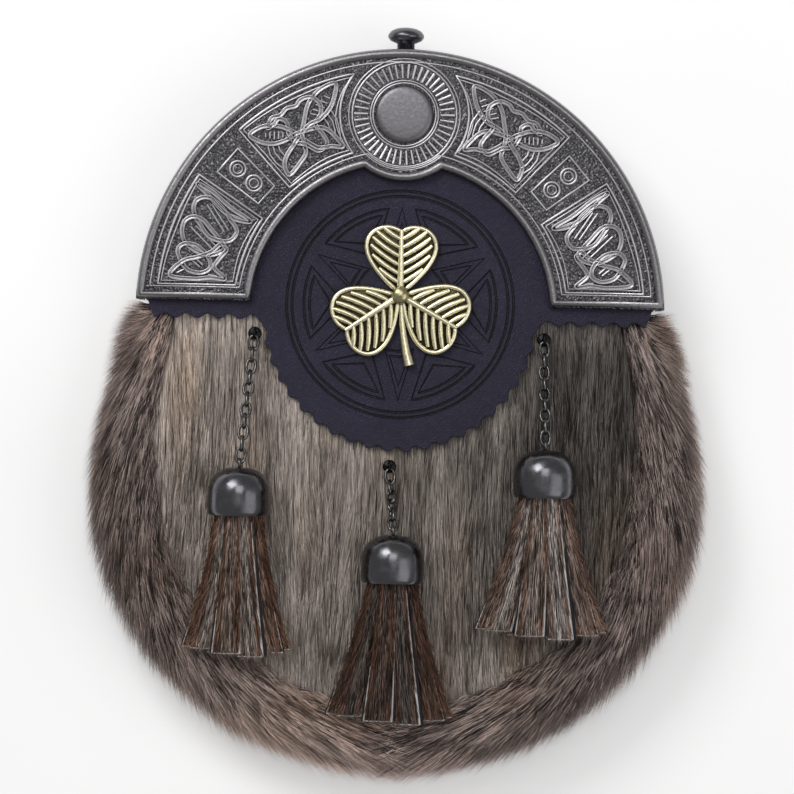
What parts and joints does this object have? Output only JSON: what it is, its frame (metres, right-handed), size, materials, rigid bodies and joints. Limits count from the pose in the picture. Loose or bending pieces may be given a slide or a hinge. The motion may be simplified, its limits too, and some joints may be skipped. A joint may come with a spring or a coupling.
{
  "type": "dress sporran pouch",
  "caption": "Fur dress sporran with a cast arched metal cantle, a pinked leather apron with a shamrock badge, and fur tassels on short chains.",
  "frame": {"origin": "middle of the outline, on the plane that the belt loops rest on", "axes": "+Z out of the front, +Y towards the knob at the top, +X to the right seen from the front"},
  "size_m": [0.2012, 0.2466, 0.0495],
  "materials": {
    "antique_silver": "cast, antiqued, dark in its hollows",
    "dark_metal": "dark polished",
    "chain_steel": "bright wire",
    "black_wire": "black enamelled",
    "antique_brass": "cast, antiqued, dark in its hollows",
    "navy_leather": "fine grained, embossed",
    "black_leather": "fine grained",
    "pale_fur": "long straight fur, grey brown",
    "dark_fur": "long fur, dark grey brown",
    "tassel_fur": "fur on dark suede with pale cut edges"
  },
  "bodies": {
    "root": {"cantle": "antique_silver", "apron": "navy_leather", "badge": "antique_brass", "front_panel": "pale_fur", "gusset_band": "dark_fur", "back_panel": "black_leather", "belt_loop_left": "black_leather", "belt_loop_right": "black_leather", "anchor_left": "black_wire", "bell_left": "dark_metal", "tassel_left": "tassel_fur", "anchor_middle": "black_wire", "bell_middle": "dark_metal", "tassel_middle": "tassel_fur", "anchor_right": "black_wire", "bell_right": "dark_metal", "tassel_right": "tassel_fur", "link_left_01": "chain_steel", "link_left_02": "chain_steel", "link_left_03": "chain_steel", "link_left_04": "chain_steel", "link_left_05": "chain_steel", "link_left_06": "chain_steel", "link_left_07": "chain_steel", "link_left_08": "chain_steel", "link_left_09": "chain_steel", "link_left_10": "chain_steel", "link_left_11": "chain_steel", "link_middle_01": "chain_steel", "link_middle_02": "chain_steel", "link_middle_03": "chain_steel", "link_middle_04": "chain_steel", "link_middle_05": "chain_steel", "link_middle_06": "chain_steel", "link_right_01": "chain_steel", "link_right_02": "chain_steel", "link_right_03": "chain_steel", "link_right_04": "chain_steel", "link_right_05": "chain_steel", "link_right_06": "chain_steel", "link_right_07": "chain_steel", "link_right_08": "chain_steel", "link_right_09": "chain_steel"},
    "catch": {"knob": "dark_metal"}
  },
  "joints": [
    {"name": "catch_press", "type": "slide", "parent": "root", "child": "catch", "axis": [0, -1, 0], "range_m": [0, 0.0025], "stiffness_N_per_m": 300, "springref_m": -0.002}
  ]
}
